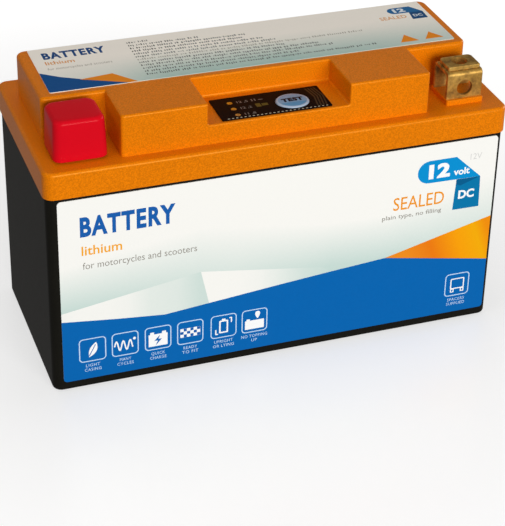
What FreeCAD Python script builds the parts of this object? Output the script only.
import FreeCAD, Part
import math
import os
from FreeCAD import Vector, Rotation, Placement

# Sealed lithium motorcycle battery, 12 V class, 150 x 65 x 92 mm.
# Origin at the centre of the base.  +X runs along the length towards the
# negative terminal, -Y is the front (terminal side), +Z is up.  Millimetres.

os.makedirs("parts", exist_ok=True)

# ------------------------------------------------------------- driving sizes
LENGTH = 150.0            # over the cover skirt
WIDTH = 65.0
HEIGHT = 92.0             # base to the top of the deck label and the cap
HX, HY = LENGTH / 2, WIDTH / 2

CASE_INSET = 0.6          # case wall stands this far inside the cover skirt
CASE_WALL = 2.4
CASE_FLOOR = 2.5
CASE_CORNER_R = 3.0
SHOULDER_Z = 69.4         # the cover skirt rests here
TONGUE_TOP_Z = 74.0
TONGUE_OUT = 2.05         # tongue stands this far inside the skirt face

SKIRT_WALL = 2.0
SKIRT_CORNER_R = 3.4
LEDGE_Z = 78.1            # flat ledge all round the raised deck
LEDGE_EDGE_R = 1.1
ROOF = 2.0                # roof thickness under ledge and deck

DECK_X0, DECK_X1 = -70.2, 69.2
DECK_Y0, DECK_Y1 = -10.4, 24.0
LABEL_T = 0.2             # film thickness
DECK_Z = HEIGHT - LABEL_T
BLOCK_X0, BLOCK_X1 = -50.2, 49.0
BLOCK_Y0 = -28.2

NOTCH_X0, NOTCH_X1 = -23.4, 22.4
NOTCH_Z = 84.6
NOTCH_FLOOR_T = 2.6

TERM_X = 62.4             # terminal centre, mirrored left and right
STRIP_W = 12.0
STRIP_T = 1.1
STRIP_Y0, STRIP_Y1 = -25.2, -15.0
STRIP_TOP_Z = 89.0
STRIP_BOTTOM_Z = 73.0
STRIP_BEND_R = 1.4
PLATE_W = 10.8            # doubler plate on top of the strip
PLATE_Y0, PLATE_Y1 = -24.1, -16.4
PLATE_Z1 = 90.4
PLATE_STEP = 0.3          # height of the narrower foot under the doubler
BOLT_HOLE_R = 2.6         # clearance for an M5 terminal bolt
FRONT_HOLE_Z = 83.4
TOP_HOLE_Y = -20.1

PED_X0, PED_X1 = 56.2, 68.7
PED_Y0, PED_Y1 = -26.2, -14.0
PED_Z = 79.9

CAP_X0, CAP_X1 = -70.5, -53.8
CAP_Y0, CAP_Y1 = -27.5, -12.5
CAP_DRAFT_X0, CAP_DRAFT_X1 = 0.5, 0.7   # how far the sides lean in at the top
CAP_DRAFT_Y0, CAP_DRAFT_Y1 = 0.3, 0.2
CAP_Z0, CAP_Z1 = 79.0, HEIGHT
CAP_WALL = 1.1

OVER_X0, OVER_X1 = -18.4, 17.0
OVER_Y0, OVER_Y1 = -27.1, -13.3
OVER_T = 0.4
BTN_X, BTN_Y = 6.1, -21.1
BTN_A, BTN_B = 5.3, 4.6   # half axes of the oval button
BTN_GAP = 0.2
BTN_Z0, BTN_Z1 = 84.0, 85.5
BTN_STEM_R = 1.8
LED_X = -12.8
LED_Y = (-24.8, -20.8, -16.8)
LED_R = 0.9

CELL_R = 13.1
CELL_L = 65.0
CELL_Z0 = 5.0
CELL_X = (40.5, 13.5, -13.5, -40.5)
CELL_CAN_T = 0.35
BOARD_Z0, BOARD_Z1 = 77.0, 78.6


# ------------------------------------------------------------------- helpers
def box(x0, x1, y0, y1, z0, z1):
    return Part.makeBox(x1 - x0, y1 - y0, z1 - z0, Vector(x0, y0, z0))


def cyl(x, y, z0, z1, r):
    return Part.makeCylinder(r, z1 - z0, Vector(x, y, z0))


def vertical_edges(shape, want=None):
    out = []
    for e in shape.Edges:
        a, b = e.Vertexes[0].Point, e.Vertexes[-1].Point
        if abs(a.x - b.x) < 1e-6 and abs(a.y - b.y) < 1e-6 and abs(a.z - b.z) > 1e-3:
            if want is None or want(a.x, a.y):
                out.append(e)
    return out


def flat_edges(shape, z):
    out = []
    for e in shape.Edges:
        if all(abs(v.Point.z - z) < 1e-6 for v in e.Vertexes):
            bb = e.BoundBox
            if bb.ZLength < 1e-6:
                out.append(e)
    return out


def rbox(x0, x1, y0, y1, z0, z1, rv=0.0, rt=0.0, rb=0.0, corners=None):
    """Box with rounded vertical corners, top rim and bottom rim.
    corners maps a corner test to its own radius."""
    s = box(x0, x1, y0, y1, z0, z1)
    if corners:
        for want, r in corners:
            s = s.makeFillet(r, vertical_edges(s, want))
    elif rv > 0:
        s = s.makeFillet(rv, vertical_edges(s))
    if rt > 0:
        s = s.makeFillet(rt, flat_edges(s, z1))
    if rb > 0:
        s = s.makeFillet(rb, flat_edges(s, z0))
    return s


def oval(x, y, a, b, z0, z1):
    e = Part.Ellipse(Vector(x, y, z0), a, b)
    w = Part.Wire([e.toShape()])
    return Part.Face(w).extrude(Vector(0, 0, z1 - z0))


def fuse(first, *rest):
    s = first
    for r in rest:
        s = s.fuse(r)
    return s.removeSplitter()


def save(name, shape, solids=1):
    if shape.ShapeType == "Compound" and len(shape.Solids) == 1:
        shape = shape.Solids[0]
    n = len(shape.Solids)
    ok = shape.isValid()
    print("%-22s solids %d valid %s volume %.1f" % (name, n, ok, shape.Volume))
    if n != solids or not ok:
        raise SystemExit("bad solid: " + name)
    shape.exportStep("parts/%s.step" % name)


# -------------------------------------------------------------- lower case
cx, cy = HX - CASE_INSET, HY - CASE_INSET
outer = rbox(-cx, cx, -cy, cy, 0, SHOULDER_Z, rv=CASE_CORNER_R, rb=1.2)
tx, ty = HX - TONGUE_OUT, HY - TONGUE_OUT
tongue = rbox(-tx, tx, -ty, ty, 40.0, TONGUE_TOP_Z, rv=1.6)
ix, iy = cx - CASE_WALL, cy - CASE_WALL
hollow = rbox(-ix, ix, -iy, iy, CASE_FLOOR, 90.0, rv=1.2)
case = fuse(outer, tongue).cut(hollow)
# four low inner ribs locate the cell pack along the length
for sx in (-1, 1):
    for y in (-16.0, 16.0):
        x0, x1 = sorted((sx * (ix + 0.5), sx * (ix - 1.4)))
        case = case.fuse(box(x0, x1, y - 1.0, y + 1.0, CASE_FLOOR - 0.5, 60.0))
case = case.removeSplitter()
save("case", case)

# --------------------------------------------------------- terminal strips
def strip_profile(y0, y1, z0, z1, r):
    """Closed outline of an upside-down U in the YZ plane, as a face at x=0."""
    k = math.sqrt(0.5)
    pts = [Vector(0, y0, z0), Vector(0, y0, z1 - r)]
    edges = [Part.makeLine(pts[0], pts[1])]
    edges.append(Part.Arc(pts[1], Vector(0, y0 + r - r * k, z1 - r + r * k),
                          Vector(0, y0 + r, z1)).toShape())
    edges.append(Part.makeLine(Vector(0, y0 + r, z1), Vector(0, y1 - r, z1)))
    edges.append(Part.Arc(Vector(0, y1 - r, z1), Vector(0, y1 - r + r * k, z1 - r + r * k),
                          Vector(0, y1, z1 - r)).toShape())
    edges.append(Part.makeLine(Vector(0, y1, z1 - r), Vector(0, y1, z0)))
    edges.append(Part.makeLine(Vector(0, y1, z0), Vector(0, y0, z0)))
    return Part.Face(Part.Wire(edges))


def terminal(sign):
    xc = sign * TERM_X
    out = strip_profile(STRIP_Y0, STRIP_Y1, STRIP_BOTTOM_Z, STRIP_TOP_Z, STRIP_BEND_R)
    out = out.extrude(Vector(STRIP_W, 0, 0))
    inn = strip_profile(STRIP_Y0 + STRIP_T, STRIP_Y1 - STRIP_T, STRIP_BOTTOM_Z - 1,
                        STRIP_TOP_Z - STRIP_T, STRIP_BEND_R - STRIP_T)
    inn = inn.extrude(Vector(STRIP_W + 2, 0, 0))
    inn.translate(Vector(-1, 0, 0))
    s = out.cut(inn)
    s.translate(Vector(xc - STRIP_W / 2, 0, 0))
    # doubler plate on top, standing on a slightly smaller foot
    foot = box(xc - PLATE_W / 2 + 0.4, xc + PLATE_W / 2 - 0.4, PLATE_Y0 + 0.4, PLATE_Y1 - 0.4,
               STRIP_TOP_Z - 0.3, STRIP_TOP_Z + PLATE_STEP + 0.1)
    plate = rbox(xc - PLATE_W / 2, xc + PLATE_W / 2, PLATE_Y0, PLATE_Y1,
                 STRIP_TOP_Z + PLATE_STEP, PLATE_Z1, rt=0.2,
                 corners=[(lambda x, y: y > -20, 1.4), (lambda x, y: y < -20, 0.35)])
    s = s.fuse(foot).fuse(plate)
    # bolt holes: through the front leg, and down through the doubled top
    s = s.cut(Part.makeCylinder(BOLT_HOLE_R, STRIP_T + 2.0,
                                Vector(xc, STRIP_Y0 - 1, FRONT_HOLE_Z), Vector(0, 1, 0)))
    s = s.cut(cyl(xc, TOP_HOLE_Y, STRIP_TOP_Z - STRIP_T - 0.3, PLATE_Z1 + 1, BOLT_HOLE_R))
    s = s.removeSplitter()
    # broken edges round the outside of the front leg
    def soft(e):
        bb = e.BoundBox
        return (bb.XLength < 1e-6 and bb.YLength < 1e-6 and abs(bb.YMin - STRIP_Y0) < 1e-6
                and bb.ZLength > 5)
    s = s.makeFillet(0.2, [e for e in s.Edges if soft(e)])
    return s


term_neg = terminal(1)
term_pos = terminal(-1)
save("terminal_negative", term_neg)
save("terminal_positive", term_pos)

# ------------------------------------------------------------------- cover
skirt = rbox(-HX, HX, -HY, HY, SHOULDER_Z, LEDGE_Z, rv=SKIRT_CORNER_R, rt=LEDGE_EDGE_R)
deck = rbox(DECK_X0, DECK_X1, DECK_Y0, DECK_Y1, LEDGE_Z - 2, DECK_Z, rt=1.0,
            corners=[(lambda x, y: y > 0, 3.0), (lambda x, y: y < 0 and x < 0, 1.2),
                     (lambda x, y: y < 0 and x > 0, 2.4)])
block = rbox(BLOCK_X0, BLOCK_X1, BLOCK_Y0, 0.0, LEDGE_Z - 2, DECK_Z, rt=0.7,
             corners=[(lambda x, y: y < -1, 1.1)])
cover = fuse(skirt, deck, block)

# tester notch, open to the front and the top
notch = box(NOTCH_X0, NOTCH_X1, -40.0, DECK_Y0 + 0.4, NOTCH_Z, 99.0)
ne = [e for e in notch.Edges
      if (abs(e.BoundBox.ZMax - NOTCH_Z) < 1e-6 and abs(e.BoundBox.YMin + 40.0) > 1e-6)
      or (abs(e.BoundBox.ZMax - NOTCH_Z) < 1e-6 and e.BoundBox.YLength > 1)]
notch = notch.makeFillet(0.8, ne + vertical_edges(notch, lambda x, y: y > -30))
cover = cover.cut(notch)

# soft rims around the notch
def rim(e):
    bb = e.BoundBox
    on_side = (abs(bb.XMin - NOTCH_X0) < 1e-3 or abs(bb.XMax - NOTCH_X1) < 1e-3) and bb.XLength < 1e-3
    if on_side and bb.ZMin > DECK_Z - 1e-3 and bb.YLength > 5:
        return True
    if on_side and abs(bb.YMin - BLOCK_Y0) < 1e-3 and bb.YLength < 1e-3 and bb.ZLength > 3:
        return True
    if abs(bb.ZMin - NOTCH_Z) < 1e-3 and bb.ZLength < 1e-3 and abs(bb.YMin - BLOCK_Y0) < 1e-3 and bb.XLength > 20:
        return True
    if bb.ZMin > DECK_Z - 1e-3 and bb.XLength > 20 and abs(bb.YMin - (DECK_Y0 + 0.4)) < 0.5 \
            and bb.XMin > NOTCH_X0 - 1 and bb.XMax < NOTCH_X1 + 1:
        return True
    return False


rims = [e for e in cover.Edges if rim(e)]
print("notch rims", len(rims))
cover_done = None
for radius in (0.5, 0.4, 0.3):
    try:
        t = cover.makeFillet(radius, rims)
        if t.isValid() and len(t.Solids) == 1:
            cover_done = t
            print("notch rim radius", radius)
            break
    except Exception as err:
        print("rim", radius, "failed")
if cover_done is not None:
    cover = cover_done

# raised pedestals that carry the brass strips
for sign in (1, -1):
    x0, x1 = sorted((sign * PED_X0, sign * PED_X1))
    ped = rbox(x0, x1, PED_Y0, PED_Y1, LEDGE_Z - 1.0, PED_Z, rv=0.6, rt=0.3)
    cover = cover.fuse(ped)

# inner hollow: skirt, under the deck, under the front block around the notch
sx, sy = HX - SKIRT_WALL, HY - SKIRT_WALL
h1 = rbox(-sx, sx, -sy, sy, 60.0, LEDGE_Z - ROOF, rv=1.6)
h2 = rbox(DECK_X0 + ROOF, DECK_X1 - ROOF, DECK_Y0 + ROOF, DECK_Y1 - ROOF, 70.0,
          DECK_Z - ROOF, rv=1.0)
h3 = box(BLOCK_X0 + ROOF, BLOCK_X1 - ROOF, BLOCK_Y0 + ROOF, DECK_Y0 + ROOF + 1.5, 70.0,
         DECK_Z - ROOF)
keep = box(NOTCH_X0 - ROOF, NOTCH_X1 + ROOF, BLOCK_Y0 - 1, DECK_Y0 + 0.4 + ROOF,
           NOTCH_Z - NOTCH_FLOOR_T, 99.0)
h23 = fuse(h2, h3).cut(keep)
cover = cover.cut(fuse(h1, h23))

# posts under the notch floor for the tester board
POSTS = ((-19.8, -13.0), (19.0, -13.0))
for (px, py) in POSTS:
    cover = cover.fuse(cyl(px, py, BOARD_Z1, NOTCH_Z - NOTCH_FLOOR_T + 0.5, 2.5))
    cover = cover.cut(cyl(px, py, BOARD_Z1 - 1, 82.6, 1.05))

# openings for the strips, the button and the light guides
for t in (term_neg, term_pos):
    cover = cover.cut(t)
cover = cover.cut(oval(BTN_X, BTN_Y, BTN_A + BTN_GAP, BTN_B + BTN_GAP, 83.4, 86.0))
cover = cover.cut(cyl(BTN_X, BTN_Y, 80.0, 84.0, BTN_STEM_R + 0.25))
for y in LED_Y:
    cover = cover.cut(cyl(LED_X, y, 80.0, 86.0, LED_R + 0.1))
cover = cover.removeSplitter()
save("cover", cover)

# ------------------------------------------------------------- cap, labels
def tapered(x0, x1, y0, y1, z0, z1, dx0, dx1, dy0, dy1, rv, rt):
    """Box whose four sides lean inwards towards the top, rounded."""
    def ring(a, b, c, d, z):
        p = [Vector(a, c, z), Vector(b, c, z), Vector(b, d, z), Vector(a, d, z)]
        return Part.makePolygon(p + [p[0]])
    s = Part.makeLoft([ring(x0, x1, y0, y1, z0),
                       ring(x0 + dx0, x1 - dx1, y0 + dy0, y1 - dy1, z1)], True, True)
    side = [e for e in s.Edges if e.BoundBox.ZLength > 0.9 * (z1 - z0)]
    s = s.makeFillet(rv, side)
    return s.makeFillet(rt, flat_edges(s, z1)) if rt > 0 else s


cap = tapered(CAP_X0, CAP_X1, CAP_Y0, CAP_Y1, CAP_Z0, CAP_Z1,
              CAP_DRAFT_X0, CAP_DRAFT_X1, CAP_DRAFT_Y0, CAP_DRAFT_Y1, 2.2, 1.4)
cap_in = tapered(CAP_X0 + CAP_WALL, CAP_X1 - CAP_WALL, CAP_Y0 + CAP_WALL, CAP_Y1 - CAP_WALL,
                 CAP_Z0 - 0.001, CAP_Z1 - CAP_WALL,
                 CAP_DRAFT_X0, CAP_DRAFT_X1, CAP_DRAFT_Y0, CAP_DRAFT_Y1, 0.6, 0.5)
cap_in = cap_in.fuse(box(CAP_X0 + CAP_WALL + 0.3, CAP_X1 - CAP_WALL - 0.3,
                         CAP_Y0 + CAP_WALL + 0.3, CAP_Y1 - CAP_WALL - 0.3, CAP_Z0 - 3, CAP_Z0 + 1))
cap = cap.cut(cap_in)
save("positive_cap", cap)

top_label = rbox(-66.6, 66.4, -7.7, 22.9, DECK_Z, DECK_Z + LABEL_T, rv=0.6)
save("top_label", top_label)

fl = box(-71.3, 72.4, -cy - LABEL_T, -cy, 3.3, 68.3)
fe = [e for e in fl.Edges if abs(e.BoundBox.YLength - LABEL_T) < 1e-6]
fl = fl.makeFillet(1.2, fe)
save("front_label", fl)

over = rbox(OVER_X0, OVER_X1, OVER_Y0, OVER_Y1, NOTCH_Z, NOTCH_Z + OVER_T, rv=0.3)
over = over.cut(oval(BTN_X, BTN_Y, BTN_A + BTN_GAP, BTN_B + BTN_GAP, 80.0, 90.0))
for y in LED_Y:
    over = over.cut(cyl(LED_X, y, 80.0, 90.0, LED_R + 0.1))
save("tester_overlay", over)

# -------------------------------------------------- tester: button and board
btn = oval(BTN_X, BTN_Y, BTN_A, BTN_B, BTN_Z0, BTN_Z1)
btn = btn.makeFillet(0.45, flat_edges(btn, BTN_Z1))
btn = fuse(btn, cyl(BTN_X, BTN_Y, 81.7, BTN_Z0 + 0.2, BTN_STEM_R))
save("test_button", btn)

sw = box(BTN_X - 3, BTN_X + 3, BTN_Y - 3, BTN_Y + 3, BOARD_Z1, 81.0)
sw = sw.cut(cyl(BTN_X, BTN_Y, 79.0, 82.0, 1.75))
save("tact_switch", sw)
save("switch_plunger", fuse(cyl(BTN_X, BTN_Y, 79.6, 81.7, 1.7)))

tb = box(-22.2, 22.2, -26.0, -9.6, BOARD_Z0, BOARD_Z1)
for (px, py) in POSTS:
    tb = tb.cut(cyl(px, py, 70, 90, 1.3))
save("tester_board", tb)

for i, y in enumerate(LED_Y):
    base = box(LED_X - 1.6, LED_X + 1.6, y - 1.0, y + 1.0, BOARD_Z1, BOARD_Z1 + 1.0)
    guide = cyl(LED_X, y, BOARD_Z1 + 0.5, NOTCH_Z + OVER_T - 0.1, LED_R)
    save("status_light_%d" % (i + 1), fuse(base, guide))

scr = []
for (px, py) in POSTS:
    scr.append(fuse(cyl(px, py, 75.4, 77.0, 2.0), cyl(px, py, 76.9, 81.8, 1.0)))
save("tester_screws", Part.makeCompound(scr), 2)

link = box(-6.0, 6.0, -11.0, -5.6, BOARD_Z1, 81.0)
save("board_link_header", link.makeFillet(0.3, vertical_edges(link)))

# ------------------------------------------------------- cell pack and holders
def cell(x, plus_up):
    z0, z1 = CELL_Z0, CELL_Z0 + CELL_L
    nub = 0.6
    if plus_up:
        a, b = z0, z1 - nub
        n = cyl(x, 0, b - 0.2, z1, 4.5)
    else:
        a, b = z0 + nub, z1
        n = cyl(x, 0, z0, a + 0.2, 4.5)
    c = cyl(x, 0, a, b, CELL_R)
    ring = [e for e in c.Edges if e.BoundBox.ZLength < 1e-6]
    c = c.makeFillet(0.8, ring)
    c = c.cut(cyl(x, 0, a + 0.5, b - 0.5, CELL_R - CELL_CAN_T - 0.05))
    return fuse(c, n)


for i, x in enumerate(CELL_X):
    plus_up = (i % 2 == 1)
    save("cell_%d_can" % (i + 1), cell(x, plus_up))
    core = cyl(x, 0, 7.5, 67.5, 12.3).cut(cyl(x, 0, 0, 90, 2.0))
    save("cell_%d_winding" % (i + 1), core)

hb = rbox(-68.2, 68.2, -29.2, 29.2, 4.0, 10.0, rv=1.5)
for x in CELL_X:
    hb = hb.cut(cyl(x, 0, CELL_Z0, 12.0, CELL_R + 0.15))
for x0, x1 in ((9.5, 44.5), (-44.5, -9.5)):
    hb = hb.cut(box(x0 - 0.2, x1 + 0.2, -4.2, 4.2, 4.6, 5.6))
for x in (-56, 56):
    for y in (-20, 20):
        hb = hb.cut(cyl(x, y, 0, 20, 5.0))
save("cell_holder_bottom", hb)

ht = rbox(-68.2, 68.2, -29.2, 29.2, 65.0, 71.2, rv=1.5)
for x in CELL_X:
    ht = ht.cut(cyl(x, 0, 60.0, 70.0, CELL_R + 0.15))
    ht = ht.cut(cyl(x, 0, 60.0, 80.0, 10.5))
ht = ht.cut(box(-18.0, 18.0, -4.4, 4.4, 69.9, 72.0))
STANDOFFS = ((-54.0, -4.0), (54.0, -4.0), (-54.0, 18.0), (54.0, 18.0))
for (px, py) in STANDOFFS:
    ht = ht.fuse(cyl(px, py, 71.0, BOARD_Z0, 2.6))
    ht = ht.cut(cyl(px, py, 68.0, 80.0, 1.15))
for y in (-20, 20):
    ht = ht.cut(cyl(62, y, 60, 80, 3.5)).cut(cyl(-62, y, 60, 80, 3.5))
save("cell_holder_top", ht.removeSplitter())

# nickel links between the cells: two underneath, one on top
save("cell_link_1_2", box(9.5, 44.5, -4.0, 4.0, 4.7, 5.0))
save("cell_link_3_4", box(-44.5, -9.5, -4.0, 4.0, 4.7, 5.0))
save("cell_link_2_3", box(-17.5, 17.5, -4.0, 4.0, 70.0, 70.3))

# copper collectors from the end cells up to the board
def collector(x):
    flat = box(x - 4.0, x + 4.0, -4.0, 5.5, 70.0, 70.4)
    riser = box(x - 3.0, x + 3.0, 5.0, 5.5, 70.0, BOARD_Z0)
    return fuse(flat, riser)


save("collector_negative", collector(CELL_X[0]))
save("collector_positive", collector(CELL_X[3]))

# copper busbars from the board to the brass strips
def busbar(sign):
    x0, x1 = sorted((sign * 59.3, sign * 65.3))
    a = box(x0, x1, STRIP_Y1, STRIP_Y1 + 1.0, 73.0, 76.0)
    b = box(x0, x1, STRIP_Y1, 4.0, 73.0, 74.0)
    c = box(x0, x1, 3.0, 4.0, 73.0, BOARD_Z0)
    d = box(x0, x1, 3.0, 9.0, BOARD_Z0 - 1.0, BOARD_Z0)
    return fuse(a, b, c, d)


save("busbar_negative", busbar(1))
save("busbar_positive", busbar(-1))

# ------------------------------------------------------ management board
bd = rbox(-66.2, 65.8, -7.2, 21.2, BOARD_Z0, BOARD_Z1, rv=1.0)
for (px, py) in STANDOFFS:
    bd = bd.cut(cyl(px, py, 70, 90, 1.45))
save("management_board", bd)

scr = []
for (px, py) in STANDOFFS:
    head = cyl(px, py, BOARD_Z1, 80.2, 2.3).cut(box(px - 2.4, px + 2.4, py - 0.3, py + 0.3, 79.6, 81))
    scr.append(fuse(head, cyl(px, py, 70.0, BOARD_Z1 + 0.1, 1.1)))
save("board_screws", Part.makeCompound(scr), 4)

fets = []
for x in (-37.5, -25.5, -13.5, 13.5, 25.5, 37.5):
    fets.append(fuse(box(x - 5.0, x + 5.0, 9.0, 18.0, BOARD_Z1, 81.0),
                     box(x - 4.6, x + 4.6, 18.0, 19.8, BOARD_Z1, 79.9)))
save("power_transistors", Part.makeCompound(fets), 6)

save("controller_chip", box(-3.5, 3.5, -1.5, 5.5, BOARD_Z1, 79.8))
res = [box(x - 3.1, x + 3.1, 0.4, 3.6, BOARD_Z1, 79.4) for x in (-34.0, -22.0, 22.0, 34.0)]
save("balance_resistors", Part.makeCompound(res), 4)
save("current_shunt", box(43.0, 49.0, 4.0, 16.0, BOARD_Z1, 80.1))

# ------------------------------------------------------------------- foam
save("foam_base", box(-64.0, 64.0, -26.0, 26.0, CASE_FLOOR, 4.0))
save("foam_left", box(-71.9, -68.4, -14.0, 14.0, 6.0, 62.0))
save("foam_right", box(68.4, 71.9, -14.0, 14.0, 6.0, 62.0))
